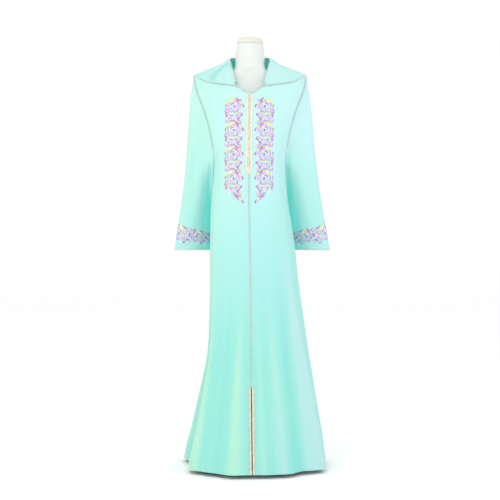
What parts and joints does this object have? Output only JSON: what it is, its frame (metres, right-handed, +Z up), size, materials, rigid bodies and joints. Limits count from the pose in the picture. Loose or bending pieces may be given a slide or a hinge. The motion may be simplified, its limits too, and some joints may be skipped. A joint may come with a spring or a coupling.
{
  "type": "djellaba robe on a limbless dress form",
  "caption": "Long hooded robe with bell sleeves, a knotted braid placket and an open front slit, filled out on a limbless dress form that stands on a round plate.",
  "frame": {"origin": "middle of the stand plate's underside, on the floor", "axes": "+Z up, -Y out of the robe's front, +X to the wearer's left"},
  "size_m": [0.5658, 0.4507, 1.541],
  "materials": {
    "crepe": "smooth light crepe with a soft sheen",
    "braid": "silky woven braid",
    "piping": "thin twisted cord",
    "form": "smooth, slightly satin",
    "steel": "light powder coat"
  },
  "bodies": {
    "root": {"armhole_piping_left": "piping", "armhole_piping_right": "piping", "back": "crepe", "centre_braid": "braid", "cuff_piping_left": "braid", "cuff_piping_right": "braid", "form_neck": "form", "form_neck_cap": "form", "form_torso": "form", "front_left": "crepe", "front_right": "crepe", "hood_edge_left": "piping", "hood_edge_right": "piping", "hood_left": "crepe", "hood_right": "crepe", "hood_under": "crepe", "neck_piping_left": "piping", "neck_piping_right": "piping", "placket_braid_left": "braid", "placket_braid_right": "braid", "placket_knots": "braid", "placket_tip": "braid", "sleeve_left": "crepe", "sleeve_right": "crepe", "slit_braid_left": "braid", "slit_braid_right": "braid", "stand_plate": "steel", "stand_pole": "steel"}
  },
  "joints": []
}
